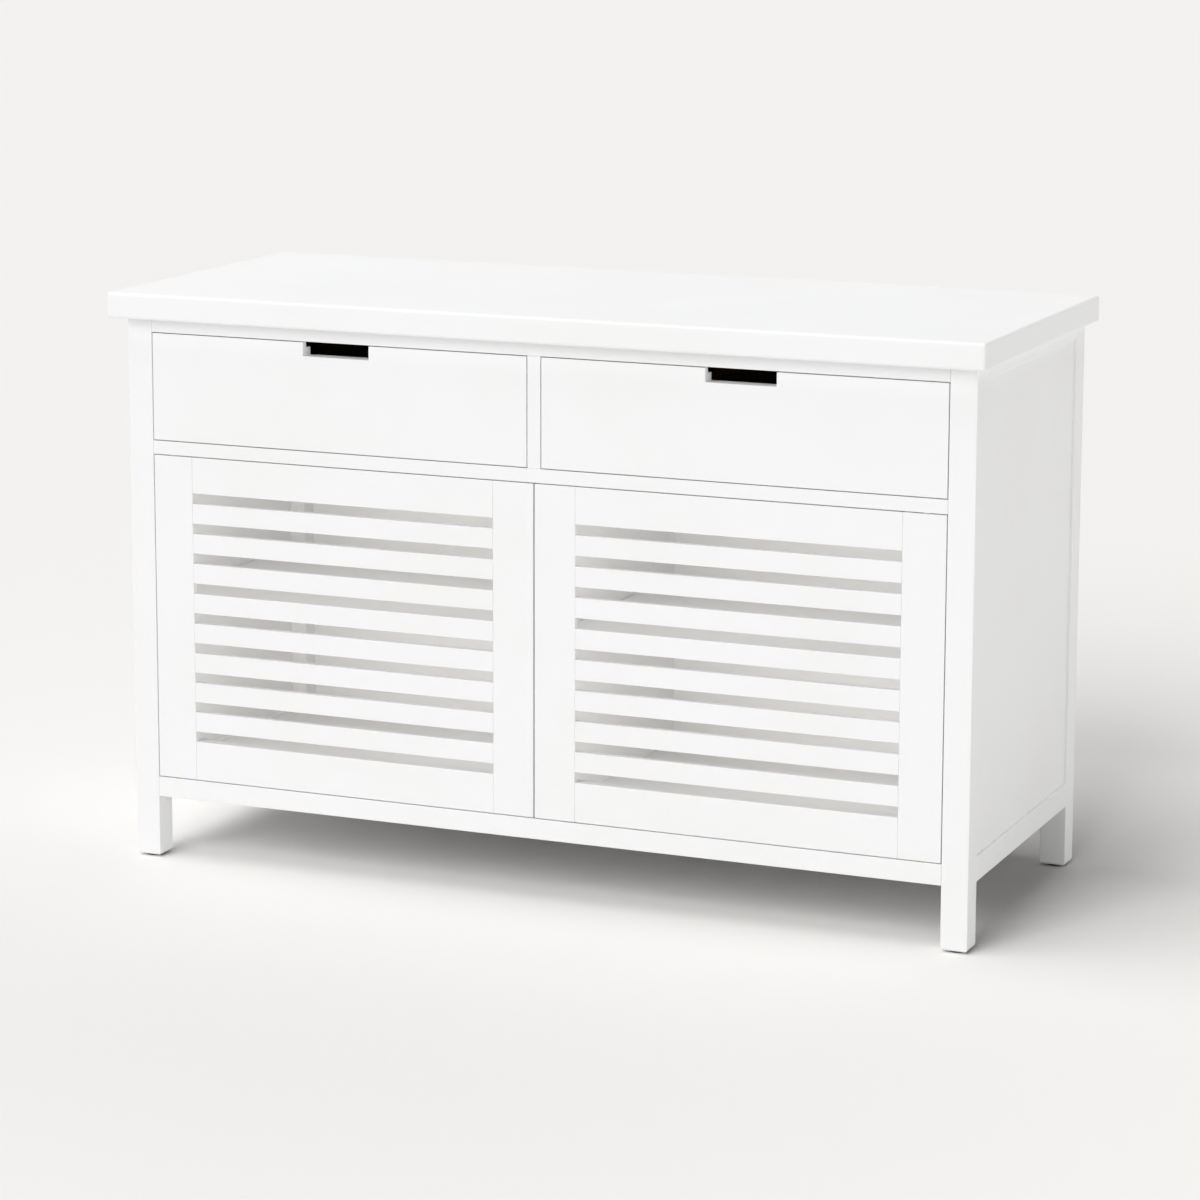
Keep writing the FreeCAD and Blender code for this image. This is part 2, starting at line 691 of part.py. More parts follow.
def make_door(word, side):
    make_stile(f"{word}_door_outer_stile", side, outer=True)
    make_stile(f"{word}_door_inner_stile", side, outer=False)
    between = mirrored(side, "slot_inner + joint_clearance", "slot_outer - joint_clearance")
    through = mirrored(side, "slot_inner - door_tenon_length", "slot_outer + door_tenon_length")
    heights = (("slot_roof", "door_top"), ("door_low", "slot_floor"))
    for name, height, tenon in zip(("top_rail", "bottom_rail"), heights, DOOR_TENON_HEIGHTS):
        body = piece(f"{word}_door_{name}")
        block(body, between, ("front", "door_back"), height)
        ease(body, "board_edge_radius")
        block(body, through, DOOR_TENON, tenon)
    body = piece(f"{word}_door_slats")
    block(body, between, ("front", "slat_back"), ("slat_low", "slat_low + slat_height"))
    ease(body, "slat_edge_radius")
    through = mirrored(side, "slot_inner - slat_tenon_length", "slot_outer + slat_tenon_length")
    block(body, through, SLAT_TENON, SLAT_TENON_HEIGHT)
    pattern(body, "Z_Axis", "slat_pitch", "slat_count")
    make_pivot_pins(word, side)
    body = piece(f"{word}_door_strike_plate")
    block(body, mirrored(side, "catch_inset + strike_margin", "catch_inset + catch_width - strike_margin"),
          ("door_back", "door_back + strike_thickness"),
          ("deck_low - catch_height + strike_margin", "door_top - strike_margin"))


def make_pivot_pins(word, side):
    """A pin in each end of the outer stile, with a collar that rides on the bush's flange."""
    profile = [("0", "-collar_thickness - pivot_reach"), ("pivot_radius", "-collar_thickness - pivot_reach"),
               ("pivot_radius", "-collar_thickness"), ("collar_radius", "-collar_thickness"),
               ("collar_radius", "0"), ("pivot_radius", "0"), ("pivot_radius", "pivot_socket"),
               ("0", "pivot_socket")]
    pins = []
    for end, height, turn in (("lower", "door_low", None), ("upper", "door_top", UPSIDE_DOWN)):
        body = member(f"{word}_{end}_pin")
        turned(body, profile)
        put(body, (f"{side} * pivot_place", "pivot_depth", height), turn)
        pins.append(body)
    group(f"{word}_door_pivot_pins", pins)


def make_notched_front(name, side, span, top, thickness, back):
    """An upright board with the finger notch cut in its top edge."""
    body = piece(name)
    inner, outer, low = span
    points = [(inner, low), (outer, low), (outer, top), ("notch_outer", top), ("notch_outer", "notch_low"),
              ("notch_inner", "notch_low"), ("notch_inner", top), (inner, top)]
    if side < 0:
        points = [(f"-({across})", up) for across, up in reversed(points)]
    plate(body, "XZ", points, thickness, "y", back)
    ease(body, "board_edge_radius")
    return body


def make_drawer(word, side):
    """A box of four sides and a grooved-in bottom, behind a face that fills the opening."""
    make_notched_front(f"{word}_drawer_face", side, ("drawer_inner", "drawer_outer", "face_low"), "face_top",
                       "face_thickness", "face_back")
    inside = ("box_inner + box_thickness", "box_outer - box_thickness")
    body = make_notched_front(f"{word}_drawer_box_front", side, (*inside, "box_low"), "box_top",
                              "box_thickness", "box_front_back")
    bottom = ("box_bottom_low", "box_bottom_top")
    groove = loosened(bottom)
    block(body, mirrored(side, *inside), ("-box_groove", "0"), groove, cut=True)
    groove_y = ("box_front_back - box_groove", "box_back - box_thickness + box_groove")
    groove_x = ("box_inner + box_thickness - box_groove", "box_outer - box_thickness + box_groove")
    for name, span in (("inner", ("box_inner", inside[0])), ("outer", (inside[1], "box_outer"))):
        body = piece(f"{word}_drawer_{name}_side")
        block(body, mirrored(side, *span), ("face_back", "box_back"), ("box_low", "box_top"))
        ease(body, "board_edge_radius")
        block(body, mirrored(side, *groove_x), groove_y, groove, cut=True)
    body = piece(f"{word}_drawer_back")
    block(body, mirrored(side, *tightened(inside)), ("box_back - box_thickness", "box_back"),
          ("box_low", "box_top"))
    ease(body, "board_edge_radius")
    block(body, mirrored(side, *inside), groove_y, groove, cut=True)
    body = piece(f"{word}_drawer_bottom")
    block(body, mirrored(side, *tightened(groove_x)), tightened(groove_y), bottom)
    make_face_screws(word, side)


def make_face_screws(word, side):
    """Screws from inside the drawer that hold its face to the box."""
    body = piece(f"{word}_drawer_face_screws")
    turned(body, screw_profile("face_screw_radius", "face_screw_head_radius", "face_screw_head_height",
                               "face_screw_length"))
    pattern(body, "X_Axis", "drawer_outer - drawer_inner - 2 * face_screw_inset", "pair_count")
    nearest = "drawer_inner + face_screw_inset" if side > 0 else "-(drawer_outer - face_screw_inset)"
    put(body, (nearest, "box_front_back", "runner_middle"), TOWARDS_FRONT)


def channel(body, face, toward, layer):
    """One member of a runner: a channel nested in the one before it, or the drawer's facing it."""
    half = f"runner_height / 2 - {layer} * runner_step"
    if layer == 2:
        web, back = "runner_space", "runner_space - runner_sheet"
        tips = f"{layer} * runner_step + runner_sheet"
    else:
        web = f"{layer} * runner_step"
        back, tips = f"{web} + runner_sheet", "runner_space - runner_lip"
    points = [(web, f"-({half})"), (tips, f"-({half})"), (tips, f"runner_sheet - ({half})"),
              (back, f"runner_sheet - ({half})"), (back, f"{half} - runner_sheet"),
              (tips, f"{half} - runner_sheet"), (tips, half), (web, half)]
    points = [(f"{face} + {toward} * ({across})", up) for across, up in points]
    plate(body, "XZ", points, "runner_length", "y", "runner_front + runner_length")
    bind(body, "Placement.Base.z", "runner_middle")


def make_runners():
    """Fixed, middle and drawer channels on both sides of each drawer."""
    fixed = []
    for word, side in SIDES.items():
        layers = [[], [], []]
        walls = (("outer", f"{side} * post_inner", -side), ("inner", f"{side} * half_board", side))
        for name, face, toward in walls:
            for layer, members in enumerate(layers):
                body = member(f"{word}_{name}_channel_{layer}")
                channel(body, face, toward, layer)
                members.append(body)
        fixed += layers[0]
        group(f"{word}_runner_middle_channels", layers[1])
        group(f"{word}_drawer_runner_channels", layers[2])
    group("runner_fixed_channels", fixed)


def make_cabinet():
    make_top()
    for word, side in SIDES.items():
        make_post(f"front_{word}_post", side, at_front=True)
        make_post(f"rear_{word}_post", side, at_front=False)
        make_side_rail(f"{word}_top_rail", side, at_top=True)
        make_side_rail(f"{word}_bottom_rail", side, at_top=False)
        make_side_panel(f"{word}_side_panel", side)
    for word, at_front in (("front", True), ("rear", False)):
        make_cross_rail(f"{word}_top_rail", at_front, at_top=True)
        make_cross_rail(f"{word}_bottom_rail", at_front, at_top=False)
    make_back()
    make_boards()
    make_shelves()
    make_glides()
    make_carcass_screws()
    make_bushes()
    make_catches()
    for word, side in SIDES.items():
        make_door(word, side)
        make_drawer(word, side)
    make_runners()


def check_and_write():
    """Stops at any feature that failed, then writes each piece to its own file."""
    document.recompute()
    for item in document.Objects:
        if {"Invalid", "Error"} & set(item.State):
            raise RuntimeError(f"{item.Label} failed: {item.State}")
    for item in pieces:
        if item.Shape.isNull() or not item.Shape.isValid() or not item.Shape.Solids:
            raise RuntimeError(f"{item.Label} has no sound solid")
    os.makedirs("parts", exist_ok=True)
    for item in pieces:
        item.Shape.exportStep(f"parts/{item.Label}.step")
        print(item.Label, len(item.Shape.Solids), round(item.Shape.Volume))


fill_sheet()
make_cabinet()
check_and_write()
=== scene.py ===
"""Looks of a louvred door cabinet: satin white paint, lacquered drawers, plated hardware, pale studio."""
import contextlib
import json
import math

import bmesh
import bpy
from bpy.props import FloatProperty, FloatVectorProperty, PointerProperty
from mathutils import Euler, Matrix, Vector


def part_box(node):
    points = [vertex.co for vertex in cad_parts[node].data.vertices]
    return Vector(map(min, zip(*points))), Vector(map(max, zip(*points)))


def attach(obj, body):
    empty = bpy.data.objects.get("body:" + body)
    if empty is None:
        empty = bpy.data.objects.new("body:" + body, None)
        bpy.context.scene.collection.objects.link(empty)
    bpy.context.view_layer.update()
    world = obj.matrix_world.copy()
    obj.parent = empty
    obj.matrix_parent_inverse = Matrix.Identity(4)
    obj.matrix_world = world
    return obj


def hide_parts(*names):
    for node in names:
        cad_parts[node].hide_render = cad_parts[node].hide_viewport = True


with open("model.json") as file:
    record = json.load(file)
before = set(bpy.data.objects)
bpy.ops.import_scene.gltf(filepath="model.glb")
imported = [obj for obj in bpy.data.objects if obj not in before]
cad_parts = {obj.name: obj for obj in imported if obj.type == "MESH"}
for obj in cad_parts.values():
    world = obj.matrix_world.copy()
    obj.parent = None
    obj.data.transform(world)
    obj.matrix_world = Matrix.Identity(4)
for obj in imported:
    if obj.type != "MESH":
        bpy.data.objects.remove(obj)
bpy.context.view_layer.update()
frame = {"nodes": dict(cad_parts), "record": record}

bl_info = {
    "name": "Louvred door cabinet",
    "version": (1, 0, 0),
    "blender": (4, 5, 0),
    "location": "View3D > Sidebar > Cabinet",
    "description": "Finishes a painted cabinet with slatted doors and models its small hardware",
    "category": "Object",
}

SLOTS = {part["node"]: part["material_slot"] for part in frame["record"]["subparts"]}
SIDES = ("left", "right")
ACROSS, DEEP, UPRIGHT = range(3)
AXIS_NAMES = "xyz"
WHITE = (1, 1, 1)


def colour(name, description, default):
    return FloatVectorProperty(name=name, description=description, subtype="COLOR", size=3,
                               min=0, max=1, default=default)


def length(name, description, default):
    return FloatProperty(name=name, description=description, unit="LENGTH", precision=5, default=default)


def share(name, description, default):
    return FloatProperty(name=name, description=description, subtype="FACTOR", min=0, max=1,
                         default=default)


def band(name, description, low, high):
    return FloatVectorProperty(name=name, description=description, size=2, min=0, max=1, default=(low, high))


def angle(name, description, degrees):
    return FloatProperty(name=name, description=description, unit="ROTATION", default=math.radians(degrees))


def light_level(name, description, default):
    return FloatProperty(name=name, description=description, min=0, default=default)


def light_direction(name, azimuth, height):
    return FloatVectorProperty(name=name, unit="ROTATION", size=2,
                               description="Turn from the front to the right, and height above the floor",
                               default=(math.radians(azimuth), math.radians(height)))


class PaintSettings(bpy.types.PropertyGroup):
    """Satin paint on the boards"""
    tone: colour("Paint", "Colour of the paint", (0.908, 0.912, 0.922))
    thin_tone: colour("Thin paint", "Colour where the paint is a little thinner", (0.890, 0.892, 0.896))
    roughness: share("Roughness", "Roughness of the satin paint", 0.46)
    roughness_drift: share("Roughness drift", "How far the roughness drifts", 0.10)
    drift_width: length("Drift width", "Width of the slow drifts in tone", 0.22)
    thin_band: band("Thin paint band", "Drift at which the paint starts to thin, and is thin", 0.35, 0.75)
    brush_width: length("Brush mark width", "Width of one brush mark", 0.0016)
    brush_length: length("Brush mark length", "Length of one brush mark", 0.09)
    stipple_width: length("Stipple width", "Width of the paint's fine stipple", 0.0009)
    brush_share: share("Brush share", "Share of the brush marks in the relief, beside the stipple", 0.6)
    relief: length("Relief", "Height of the brush marks", 0.00005)


class LacquerSettings(bpy.types.PropertyGroup):
    """Clear lacquer on the drawer boxes' wood"""
    early_wood: colour("Early wood", "Colour of the pale part of a year's growth", (0.70, 0.545, 0.36))
    late_wood: colour("Late wood", "Colour of the dark part of a year's growth", (0.55, 0.385, 0.22))
    pore: colour("Pores", "Colour of the fine pores", (0.30, 0.19, 0.10))
    roughness: share("Roughness", "Roughness of the lacquer", 0.36)
    coat: share("Coat", "Strength of the lacquer's clear coat", 0.2)
    coat_roughness: share("Coat roughness", "Roughness of the clear coat", 0.2)
    growth_width: length("Growth width", "Width of one year's growth", 0.011)
    growth_length: length("Growth length", "Length over which the growth wanders", 0.32)
    figure_width: length("Figure width", "Width of the wood's broad figure", 0.055)
    growth_share: share("Growth share", "Share of the growth in the grain, beside the figure", 0.7)
    grain_band: band("Grain band", "Grain at which early wood ends, and late wood begins", 0.36, 0.64)
    pore_band: band("Pore band", "Noise at which a pore starts, and is whole", 0.60, 0.74)
    pore_strength: share("Pore strength", "How strongly the pores' colour shows", 0.45)
    pore_roughness: share("Pore roughness", "Roughness that the pores add", 0.2)
    pore_width: length("Pore width", "Width of one pore", 0.0007)
    pore_length: length("Pore length", "Length of one pore", 0.018)
    relief: length("Relief", "Depth of the pores", 0.00004)


class HardwareSettings(bpy.types.PropertyGroup):
    """Finish and small sizes of the metal and plastic pieces"""
    zinc: colour("Zinc", "Colour of the zinc plating", (0.60, 0.61, 0.63))
    zinc_blue: colour("Zinc passivate", "Colour of the bluer grains in the plating", (0.50, 0.53, 0.58))
    zinc_roughness: share("Zinc roughness", "Roughness of the zinc plating", 0.34)
    zinc_swing: share("Zinc swing", "How far grains and rolling lines swing the roughness", 0.12)
    blue_share: share("Passivate share", "How strongly the bluer grains show", 0.5)
    grain_width: length("Zinc grain", "Width of one grain of the plating", 0.0045)
    rolling_width: length("Rolling line width", "Width of one rolling line", 0.000675)
    rolling_length: length("Rolling line length", "Length of one rolling line", 0.06)
    brass: colour("Brass", "Colour of the brass", (0.72, 0.52, 0.22))
    brass_dull: colour("Dull brass", "Colour of brass that has dulled", (0.52, 0.36, 0.15))
    brass_roughness: share("Brass roughness", "Roughness of the turned brass", 0.28)
    turning_width: length("Turning width", "Width of one turning mark", 0.0003)
    turning_length: length("Turning length", "Length of one turning mark", 1)
    dull_width: length("Dull width", "Width of a dulled place", 0.006)
    dull_band: band("Dull band", "Noise at which the brass starts to dull, and is dull", 0.4, 0.7)
    dull_roughness: share("Dull roughness", "Roughness that the dulling adds", 0.2)
    glide: colour("Glide plastic", "Colour of the foot glides", (0.022, 0.021, 0.020))
    catch: colour("Catch plastic", "Colour of the catches' housings", (0.72, 0.72, 0.70))
    plastic_roughness: share("Plastic roughness", "Roughness of the moulded plastic", 0.5)
    spark_width: length("Spark width", "Width of the moulded plastic's texture", 0.0008)
    rub_width: length("Rub width", "Width of a rubbed place on the plastic", 0.0096)
    rub_band: band("Rub band", "Noise at which a rubbed place starts, and is whole", 0.5, 0.8)
    rub_swing: share("Rub swing", "How far rubbing swings the plastic's roughness", 0.2)
    rub_gain: FloatProperty(name="Rub gain", description="How much paler rubbed plastic is", min=0,
                            default=1.25)
    rub_dust: share("Rub dust", "Paleness that dust adds to rubbed plastic", 0.01)
    relief: length("Relief", "Height of the fine texture on metal and plastic", 0.00003)
    screw_head: length("Screw head", "Radius of the heads of the top's and the back's screws", 0.004)
    screw_head_height: length("Screw head height", "Height of these heads", 0.0024)
    screw_shank: length("Screw shank", "Radius over the thread of these screws", 0.002)
    screw_reach: length("Screw reach", "Length of these screws below the head", 0.020)
    screw_end: length("Screw row end", "Distance from the middle to the last screw of a row", 0.450)
    screw_pitch: length("Screw pitch", "Distance between the screws of a row", 0.300)
    face_screw_head: length("Face screw head", "Radius of the heads of the drawer faces' screws", 0.0035)
    face_screw_height: length("Face screw head height", "Height of these heads", 0.002)
    face_screw_shank: length("Face screw shank", "Radius over the thread of these screws", 0.00175)
    catch_margin: length("Catch margin", "How far a catch reaches past its strike plate at each end", 0.002)
    catch_lug: length("Catch lug", "Length of the lug at each end of a catch", 0.007)
    catch_lug_thickness: length("Catch lug thickness", "Thickness of these lugs", 0.0024)
    catch_lug_round: length("Catch lug round", "Radius of the lugs' ends", 0.0009)
    catch_edge: length("Catch edge", "Radius of the housings' edges", 0.0006)
    pole_thickness: length("Pole thickness", "Thickness of the two steel poles of a catch", 0.0014)
    pole_lead: length("Pole lead", "How far the poles stand out of the housing", 0.0006)
    pole_depth: length("Pole depth", "Depth of the poles from front to back", 0.004)
    pole_inset: length("Pole inset", "Distance of the poles from the ends of the housing", 0.0015)
    pole_edge: length("Pole edge", "Bevel of the poles' front edges", 0.0003)
    strike_corner: length("Strike corner", "Radius of the strike plates' corners", 0.0018)
    strike_screw: length("Strike screw", "Radius of the strike plates' screws", 0.0019)


class StageSettings(bpy.types.PropertyGroup):
    """Floor, light and camera"""
    backdrop: colour("Backdrop", "Colour of what lies behind the floor", (0.8879, 0.8796, 0.8632))
    floor: colour("Floor", "Colour of the floor", (0.945, 0.936, 0.919))
    # Painted shade: the floor's colour is darker in front of and under the cabinet, and fades to the plain
    # floor colour over the reach
    painted_shade_floor: colour("Lit floor", "Colour of the floor that the front throws light on",
                      (0.794, 0.786, 0.772))
    painted_shade_place: FloatVectorProperty(name="Lit place", description="Middle of the lit floor",
                                   subtype="TRANSLATION", size=3, default=(0, -0.3, 0))
    painted_shade_reach: length("Lit reach", "How far the lit floor reaches from its middle", 1.5)
    floor_reach: length("Floor reach", "Half the width of the floor", 150)
    sky_level: light_level("Sky level", "Level of the light from all round", 0.18)
    key_level: light_level("Key level", "Level of the soft light from the left of the front", 0.475)
    key_direction: light_direction("Key direction", -38, 24)
    key_spread: angle("Key spread", "Width of the key light as the cabinet sees it", 34)
    key_tint: colour("Key tint", "Colour of the key light", WHITE)
    top_level: light_level("Top level", "Level of the soft light from above", 0.41)
    top_direction: light_direction("Top direction", 0, 88)
    top_spread: angle("Top spread", "Width of the top light as the cabinet sees it", 60)
    top_tint: colour("Top tint", "Colour of the top light", WHITE)
    side_level: light_level("Side level", "Level of the soft light from the right", 0.24)
    side_direction: light_direction("Side direction", 68, 8)
    side_spread: angle("Side spread", "Width of the side light as the cabinet sees it", 14)
    side_tint: colour("Side tint", "Colour of the side light", (1, 0.99, 0.96))
    back_level: light_level("Back level", "Level of the soft light from behind", 0.20)
    back_direction: light_direction("Back direction", -130, 45)
    back_spread: angle("Back spread", "Width of the back light as the cabinet sees it", 50)
    back_tint: colour("Back tint", "Colour of the back light", WHITE)
    floor_left_level: light_level("Left floor level", "Level of the floor's soft light from the left", 0.46)
    floor_left_direction: light_direction("Left floor direction", -60, 62)
    floor_left_spread: angle("Left floor spread", "Width of that light as the floor sees it", 40)
    floor_left_tint: colour("Left floor tint", "Colour of that light", WHITE)
    floor_front_level: light_level("Front floor level", "Level of the floor's soft light from the front",
                                   0.642)
    floor_front_direction: light_direction("Front floor direction", -10, 34)
    floor_front_spread: angle("Front floor spread", "Width of that light as the floor sees it", 34)
    floor_front_tint: colour("Front floor tint", "Colour of that light", WHITE)
    cupboard_level: light_level("Cupboard level", "Level of the soft light inside each cupboard", 1.0)
    cupboard_spread: angle("Cupboard spread", "Widest turn of that light's rays from one another", 130)
    cupboard_tint: colour("Cupboard tint", "Colour of that light", (1, 0.965, 0.91))
    camera_place: FloatVectorProperty(name="Camera place", description="Where the camera stands",
                                      subtype="TRANSLATION", size=3, default=(1.9508, -4.6440, 1.4057))
    camera_heading: angle("Camera heading", "Turn of the camera to the left of straight back", 22.82)
    camera_dip: angle("Camera dip", "How far the camera looks down", 10.0)
    camera_roll: angle("Camera roll", "Turn of the camera about its own line of sight", 0.16)
    camera_lens: FloatProperty(name="Camera lens", description="Focal length on a 36 mm wide sensor",
                               subtype="DISTANCE_CAMERA", default=116.36)
    camera_shift: FloatProperty(name="Camera shift", description="Upward shift as a share of the frame",
                                default=-0.10)


class CabinetSettings(bpy.types.PropertyGroup):
    """All that a user would change"""
    paint: PointerProperty(type=PaintSettings)
    lacquer: PointerProperty(type=LacquerSettings)
    hardware: PointerProperty(type=HardwareSettings)
    stage: PointerProperty(type=StageSettings)


class Term:
    """One value in a shader. Sums of terms and numbers add Math nodes."""

    def __init__(self, nodes, socket):
        self.nodes = nodes
        self.socket = socket

    def joined(self, operation, first, second):
        return self.nodes.node("ShaderNodeMath", {"operation": operation}, {0: first, 1: second})

    def __add__(self, other):
        return self.joined("ADD", self, other)

    def __sub__(self, other):
        return self.joined("SUBTRACT", self, other)

    def __rsub__(self, other):
        return self.joined("SUBTRACT", other, self)

    def __mul__(self, other):
        return self.joined("MULTIPLY", self, other)

    __radd__ = __add__
    __rmul__ = __mul__


class Nodes:
    """A node tree that terms are added to."""

    def __init__(self, owner):
        owner.use_nodes = True
        self.tree = owner.node_tree

    def node(self, kind, settings, inputs, output=0):
        """Adds one node with its settings, then the values or links of its sockets."""
        made = self.tree.nodes.new(kind)
        for name, value in settings.items():
            setattr(made, name, value)
        for socket, value in inputs.items():
            self.feed(made.inputs[socket], value)
        return Term(self, made.outputs[output])

    def feed(self, socket, value):
        if isinstance(value, Term):
            self.tree.links.new(value.socket, socket)
        else:
            socket.default_value = value


# Sockets of a Mix node that mixes colours
MIX_FACTOR, MIX_FIRST, MIX_SECOND = 0, 6, 7
MIX_RESULT = 2


class Finish(Nodes):
    """A material whose colour, roughness and relief are worked out over the surface."""

    def __init__(self, name, **constants):
        self.material = bpy.data.materials.new(name)
        super().__init__(self.material)
        self.shader = self.tree.nodes["Principled BSDF"]
        for socket, value in constants.items():
            self.feed(self.shader.inputs[socket.replace("_", " ")], value)

    def place(self, widths):
        """Object coordinates counted in steps of the given widths."""
        coordinates = self.node("ShaderNodeTexCoord", {}, {}, "Object")
        steps = Vector([1 / width for width in widths])
        return self.node("ShaderNodeMapping", {}, {"Vector": coordinates, "Scale": steps})

    def noise(self, widths, detail=2.0, roughness=0.5):
        values = {"Vector": self.place(widths), "Scale": 1, "Detail": detail, "Roughness": roughness}
        return self.node("ShaderNodeTexNoise", {}, values)

    def stepped(self, value, low, high):
        """A value that runs smoothly from 0 at low to 1 at high."""
        return self.node("ShaderNodeMapRange", {"interpolation_type": "SMOOTHSTEP"},
                         {"Value": value, "From Min": low, "From Max": high})

    def mixed(self, factor, first, second):
        """A colour between two colours."""
        return self.node("ShaderNodeMix", {"data_type": "RGBA"},
                         {MIX_FACTOR: factor, MIX_FIRST: first, MIX_SECOND: second}, MIX_RESULT)

    def set(self, colour=None, roughness=None, height=None, relief=0.0):
        if colour is not None:
            self.feed(self.shader.inputs["Base Color"], colour)
        if roughness is not None:
            self.feed(self.shader.inputs["Roughness"], roughness)
        if height is not None:
            bump = self.node("ShaderNodeBump", {}, {"Strength": 1, "Distance": relief, "Height": height})
            self.feed(self.shader.inputs["Normal"], bump)
        return self.material


def opaque(tone):
    return (*tone, 1)


def along(axis, run, across):
    """Widths of a pattern that runs along one axis."""
    return [run if place == axis else across for place in range(3)]


def evenly(width):
    return [width] * 3


def shared(first, second, first_share):
    """A sum in which two terms take their shares."""
    return first * first_share + second * (1 - first_share)


def longest_axis(node):
    low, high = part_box(node)
    size = high - low
    return max(range(3), key=lambda axis: size[axis])


EVEN_SHARE = 0.5
# The value that a noise swings about
NOISE_MIDDLE = 0.5


def satin_paint(settings, axis):
    """White satin paint with faint brush marks along the board."""
    finish = Finish(f"satin_paint_{AXIS_NAMES[axis]}")
    drift = finish.noise(evenly(settings.drift_width), detail=3)
    brush = finish.noise(along(axis, settings.brush_length, settings.brush_width), detail=2)
    stipple = finish.noise(evenly(settings.stipple_width), detail=1)
    thinned = finish.stepped(drift, *settings.thin_band)
    tone = finish.mixed(thinned, opaque(settings.tone), opaque(settings.thin_tone))
    swing = shared(brush, drift, EVEN_SHARE) - NOISE_MIDDLE
    roughness = settings.roughness + settings.roughness_drift * swing
    return finish.set(tone, roughness, shared(brush, stipple, settings.brush_share), settings.relief)


def clear_lacquer(settings, axis):
    """Pale hardwood under clear lacquer, its grain along the board."""
    finish = Finish(f"clear_lacquer_{AXIS_NAMES[axis]}", Coat_Weight=settings.coat,
                    Coat_Roughness=settings.coat_roughness)
    growth = finish.noise(along(axis, settings.growth_length, settings.growth_width), detail=4,
                          roughness=0.6)
    figure = finish.noise(along(axis, settings.growth_length, settings.figure_width), detail=2)
    pores = finish.noise(along(axis, settings.pore_length, settings.pore_width), detail=1)
    grain = finish.stepped(shared(growth, figure, settings.growth_share), *settings.grain_band)
    pored = finish.stepped(pores, *settings.pore_band)
    wood = finish.mixed(grain, opaque(settings.early_wood), opaque(settings.late_wood))
    wood = finish.mixed(pored * settings.pore_strength, wood, opaque(settings.pore))
    roughness = settings.roughness + pored * settings.pore_roughness
    return finish.set(wood, roughness, 1 - pored, settings.relief)


def zinc_plate(settings):
    """Bright zinc on rolled steel, with rolling lines from front to back."""
    finish = Finish("zinc_plate", Metallic=1)
    grains = finish.node("ShaderNodeTexVoronoi", {},
                         {"Vector": finish.place(evenly(settings.grain_width)), "Scale": 1}, "Color")
    grain = finish.node("ShaderNodeSeparateColor", {}, {"Color": grains})
    lines = finish.noise(along(DEEP, settings.rolling_length, settings.rolling_width), detail=2)
    tone = finish.mixed(grain * settings.blue_share, opaque(settings.zinc), opaque(settings.zinc_blue))
    swing = (grain - NOISE_MIDDLE) + (lines - NOISE_MIDDLE)
    roughness = settings.zinc_roughness + swing * settings.zinc_swing
    return finish.set(tone, roughness, lines, settings.relief)


def turned_brass(settings):
    """Brass with turning marks round the upright axis."""
    finish = Finish("turned_brass", Metallic=1)
    marks = finish.noise(along(UPRIGHT, settings.turning_width, settings.turning_length), detail=1)
    dulling = finish.noise(evenly(settings.dull_width), detail=3)
    dulled = finish.stepped(dulling, *settings.dull_band)
    tone = finish.mixed(dulled, opaque(settings.brass), opaque(settings.brass_dull))
    roughness = settings.brass_roughness + dulling * settings.dull_roughness
    return finish.set(tone, roughness, marks, settings.relief)


def moulded_plastic(settings, name, tone):
    """Plastic with a fine spark-eroded texture."""
    finish = Finish(name)
    spark = finish.noise(evenly(settings.spark_width), detail=2)
    rub = finish.noise(evenly(settings.rub_width), detail=2)
    worn = [min(1, settings.rub_gain * part + settings.rub_dust) for part in tone]
    shade = finish.mixed(finish.stepped(rub, *settings.rub_band), opaque(tone), opaque(worn))
    roughness = settings.plastic_roughness + (rub - NOISE_MIDDLE) * settings.rub_swing
    return finish.set(shade, roughness, spark, settings.relief)


def dress(node, material):
    """Gives a CAD node its finish."""
    slots = frame["nodes"][node].data.materials
    slots.clear()
    slots.append(material)


def nodes_of(slot):
    return [node for node, name in SLOTS.items() if name == slot]


class CABINET_OT_paint_boards(bpy.types.Operator):
    """Paint the carcass, the doors and the drawer faces"""
    bl_idname = "cabinet.paint_boards"
    bl_label = "Paint boards"

    def execute(self, context):
        paints = [satin_paint(context.scene.cabinet.paint, axis) for axis in (ACROSS, DEEP, UPRIGHT)]
        for node in nodes_of("painted_wood"):
            dress(node, paints[longest_axis(node)])
        return {"FINISHED"}


class CABINET_OT_lacquer_drawers(bpy.types.Operator):
    """Lacquer the drawer boxes"""
    bl_idname = "cabinet.lacquer_drawers"
    bl_label = "Lacquer drawers"

    def execute(self, context):
        lacquers = [clear_lacquer(context.scene.cabinet.lacquer, axis) for axis in (ACROSS, DEEP)]
        for node in nodes_of("drawer_wood"):
            dress(node, lacquers[longest_axis(node)])
        return {"FINISHED"}


class CABINET_OT_finish_hardware(bpy.types.Operator):
    """Plate the steel, turn the brass and mould the plastic"""
    bl_idname = "cabinet.finish_hardware"
    bl_label = "Finish hardware"

    def execute(self, context):
        settings = context.scene.cabinet.hardware
        finishes = {
            "steel": zinc_plate(settings),
            "brass": turned_brass(settings),
            "glide_plastic": moulded_plastic(settings, "glide_plastic", settings.glide),
            "catch_plastic": moulded_plastic(settings, "catch_plastic", settings.catch),
        }
        for slot, material in finishes.items():
            for node in nodes_of(slot):
                dress(node, material)
        return {"FINISHED"}


UNTURNED = (0, 0, 0)
TO_FRONT = (math.pi / 2, 0, 0)
SMOOTH_ANGLE = math.radians(35)
SHARP_ANGLE = math.radians(60)
ROUND_SIDES = 40
RIDGE_SIDES = 3
STEPS_A_TURN = 20
# How nearly a picked face points a given way, and how near to a place picked edges lie
FACING = 0.9
NEAR = 1e-5


